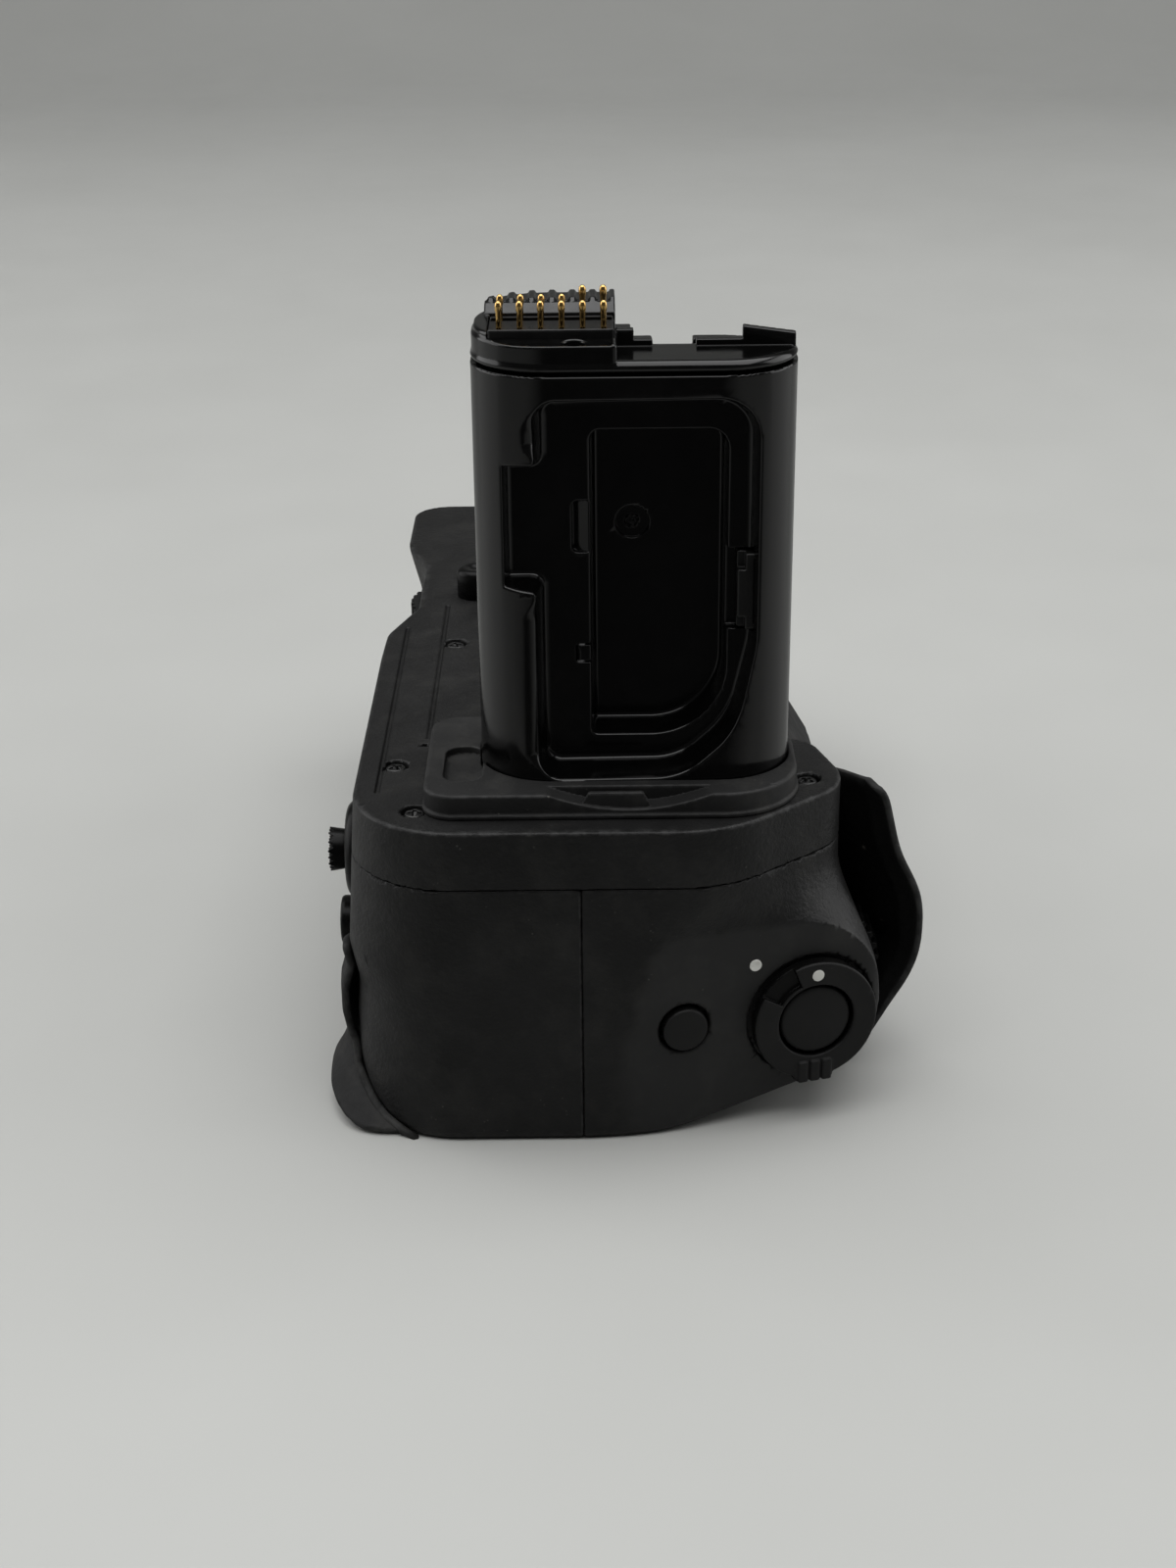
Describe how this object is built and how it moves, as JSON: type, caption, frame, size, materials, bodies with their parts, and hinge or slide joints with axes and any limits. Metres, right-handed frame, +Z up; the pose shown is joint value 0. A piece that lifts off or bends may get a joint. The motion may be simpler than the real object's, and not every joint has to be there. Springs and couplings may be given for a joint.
{
  "type": "camera battery grip",
  "caption": "Vertical camera battery grip: a hand-grip body with a battery tray, shutter controls on its end, a thumbwheel mounting screw and a contact tower; its rubber skins are peeling.",
  "frame": {"origin": "mouth of the tripod socket in the base", "axes": "+Z up from the base, +X along the body to the tray end, +Y to the shooter's side"},
  "size_m": [0.144, 0.0823, 0.1095],
  "materials": {
    "body": "fine-textured moulded shell",
    "panel_black": "satin moulded black",
    "tower_black": "polished moulded black",
    "rubber": "matt moulded rubber",
    "seal": "soft matt seal",
    "gold": "gold plated",
    "steel": "turned steel",
    "black_steel": "blackened steel",
    "alloy": "stamped sheet",
    "brass": "cut gear brass",
    "mark": "filled paint mark",
    "board": "solder-masked board",
    "flex": "amber film",
    "pack": "moulded pack",
    "inner": "plain moulded liner"
  },
  "bodies": {
    "grip_body": {"top_cover": "body", "rear_cover": "body", "front_cover": "body", "collar_seal": "seal", "tower_front": "tower_black", "tower_shell": "tower_black", "tower_cap": "tower_black", "pin_block": "inner", "pin_board": "board", "flex_cable": "flex", "cover_screws": "black_steel", "locating_boss": "panel_black", "tripod_bush": "steel", "chassis_plate": "alloy", "screw_bush": "steel", "wheel_axle": "steel", "main_board": "board", "battery_chamber": "inner", "chamber_contacts": "gold", "panel_mark": "mark", "panel_board": "board", "panel_switches": "alloy", "front_dial_axle": "steel", "rear_dial_axle": "steel", "stick_boot": "panel_black", "stick_housing": "alloy", "rear_board": "board", "focus_switch": "alloy", "grip_skin": "rubber", "thumb_skin": "rubber"},
    "shutter_button": {"shutter_button": "panel_black"},
    "lock_ring": {"lock_ring": "panel_black", "ring_clip": "steel", "ring_mark": "mark"},
    "function_button": {"function_button": "panel_black"},
    "focus_button": {"focus_button": "panel_black"},
    "stick_carrier": {"stick_carrier": "inner"},
    "stick_gimbal": {"stick_gimbal": "steel"},
    "stick": {"stick": "panel_black", "stick_stem": "steel"},
    "front_dial": {"front_dial": "panel_black"},
    "rear_dial": {"rear_dial": "panel_black"},
    "mounting_screw": {"mounting_screw": "steel", "screw_gear": "brass"},
    "attachment_wheel": {"attachment_wheel": "body"},
    "contact_pins": {"contact_pins": "gold"},
    "door_catch": {"door_catch": "inner"},
    "battery_tray": {"battery_tray": "inner", "tray_door": "body", "near_pack": "pack", "far_pack": "pack"},
    "latch_knob": {"latch_knob": "panel_black", "latch_cam": "alloy"}
  },
  "joints": [
    {"name": "shutter_press", "type": "slide", "parent": "grip_body", "child": "shutter_button", "axis": [0.9613, 0.2756, 0], "range_m": [0, 0.0012], "stiffness_N_per_m": 250},
    {"name": "lock_turn", "type": "hinge", "parent": "grip_body", "child": "lock_ring", "pos_m": [-0.07363, -0.03021, 0.0153], "axis": [-0.9613, -0.2756, 0], "range_deg": [0, 43]},
    {"name": "function_press", "type": "slide", "parent": "grip_body", "child": "function_button", "axis": [0.9613, 0.2756, 0], "range_m": [0, 0.0008], "stiffness_N_per_m": 250},
    {"name": "focus_press", "type": "slide", "parent": "grip_body", "child": "focus_button", "axis": [0, -1, 0], "range_m": [0, 0.0008], "stiffness_N_per_m": 250},
    {"name": "stick_press", "type": "slide", "parent": "grip_body", "child": "stick_carrier", "axis": [0, -1, 0], "range_m": [0, 0.0004], "stiffness_N_per_m": 400},
    {"name": "stick_pitch", "type": "hinge", "parent": "stick_carrier", "child": "stick_gimbal", "pos_m": [-0.05, 0.0256, 0.0289], "axis": [1, 0, 0], "range_deg": [-5, 5], "stiffness_Nm_per_rad": 0.02},
    {"name": "stick_yaw", "type": "hinge", "parent": "stick_gimbal", "child": "stick", "pos_m": [-0.05, 0.0256, 0.0289], "axis": [0, 0, 1], "range_deg": [-5, 5], "stiffness_Nm_per_rad": 0.02},
    {"name": "front_dial_turn", "type": "hinge", "parent": "grip_body", "child": "front_dial", "pos_m": [-0.057, -0.0328, 0.0162], "axis": [1, 0, 0], "continuous": true},
    {"name": "rear_dial_turn", "type": "hinge", "parent": "grip_body", "child": "rear_dial", "pos_m": [-0.034, 0.0266, 0.028], "axis": [1, 0, 0], "continuous": true},
    {"name": "screw_turn", "type": "hinge", "parent": "grip_body", "child": "mounting_screw", "pos_m": [0, 0, 0.045], "axis": [0, 0, 1], "continuous": true},
    {"name": "wheel_turn", "type": "hinge", "parent": "grip_body", "child": "attachment_wheel", "pos_m": [0.0168, 0.016, 0.038], "axis": [0, 0, 1], "continuous": true},
    {"name": "pins_sink", "type": "slide", "parent": "grip_body", "child": "contact_pins", "axis": [0, 0, -1], "range_m": [0, 0.001], "stiffness_N_per_m": 1500},
    {"name": "catch_give", "type": "slide", "parent": "grip_body", "child": "door_catch", "axis": [0, -1, 0], "range_m": [0, 0.0007], "stiffness_N_per_m": 600},
    {"name": "tray_slide", "type": "slide", "parent": "grip_body", "child": "battery_tray", "axis": [1, 0, 0], "range_m": [0, 0.11]},
    {"name": "latch_turn", "type": "hinge", "parent": "battery_tray", "child": "latch_knob", "pos_m": [0.0575, -0.0017, 0.01895], "axis": [1, 0, 0], "range_deg": [0, 90]}
  ],
  "couplings": [
    {"joint": "wheel_turn", "follows": "screw_turn", "ratio": -1.9}
  ]
}
